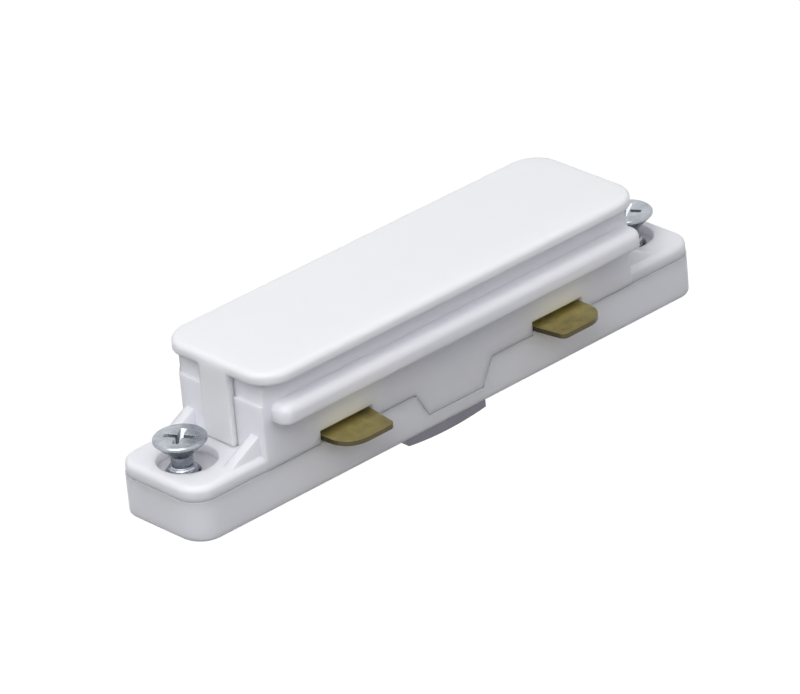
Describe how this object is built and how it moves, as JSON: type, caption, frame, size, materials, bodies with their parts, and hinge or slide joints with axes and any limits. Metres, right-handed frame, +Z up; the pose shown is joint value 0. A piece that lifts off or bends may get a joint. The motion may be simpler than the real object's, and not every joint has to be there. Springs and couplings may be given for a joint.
{
  "type": "lighting track connector",
  "caption": "Straight in-line joiner for low profile lighting track: white plastic housing with a cover, side rails, brass contact blades, an earth spring and end clamp screws.",
  "frame": {"origin": "centre of the footprint, at the lowest point of the earth spring under the housing", "axes": "+X along the connector, +Y across it towards the back rail, +Z up to the cover"},
  "size_m": [0.095, 0.0274, 0.0228],
  "materials": {
    "housing_plastic": "satin moulded",
    "cover_plastic": "satin moulded",
    "contact_brass": "dull stamped",
    "spring_steel": "dark rolled",
    "zinc_steel": "bright zinc"
  },
  "bodies": {
    "connector": {"lower_housing": "housing_plastic", "upper_housing": "housing_plastic", "cover": "cover_plastic", "contact_strip_front": "contact_brass", "contact_strip_back": "contact_brass", "earth_spring": "spring_steel", "clamp_nut_left": "zinc_steel", "clamp_nut_right": "zinc_steel"},
    "screw_left": {"clamp_screw_left": "zinc_steel"},
    "screw_right": {"clamp_screw_right": "zinc_steel"}
  },
  "joints": [
    {"name": "screw_left_drive", "type": "slide", "parent": "connector", "child": "screw_left", "axis": [0, 0, -1], "range_m": [-0.002, 0.0027]},
    {"name": "screw_right_drive", "type": "slide", "parent": "connector", "child": "screw_right", "axis": [0, 0, -1], "range_m": [-0.002, 0.0027]}
  ]
}
